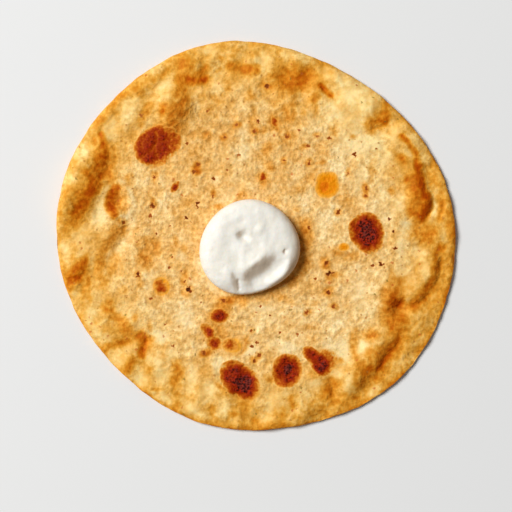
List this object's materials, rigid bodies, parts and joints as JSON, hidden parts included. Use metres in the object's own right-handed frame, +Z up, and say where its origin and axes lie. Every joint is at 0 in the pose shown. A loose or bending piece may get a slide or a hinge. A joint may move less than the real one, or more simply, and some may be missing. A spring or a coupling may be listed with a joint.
{
  "type": "paratha flatbread with a dollop of yogurt",
  "caption": "Round griddled flatbread with a puffed and creased rim, toasted spots and a thick dollop of yogurt resting on its middle.",
  "frame": {"origin": "centre of the bread's bounding box, on the surface it lies on", "axes": "+Z up out of the toasted upper face; +X and +Y in the plane of the bread, towards the right and the top of the plate seen from above"},
  "size_m": [0.219, 0.2136, 0.0167],
  "materials": {
    "griddled_bread": "dry cream to golden crust with brown toasted spots",
    "yogurt": "moist white"
  },
  "bodies": {
    "root": {"paratha": "griddled_bread", "yogurt_dollop": "yogurt"}
  },
  "joints": []
}
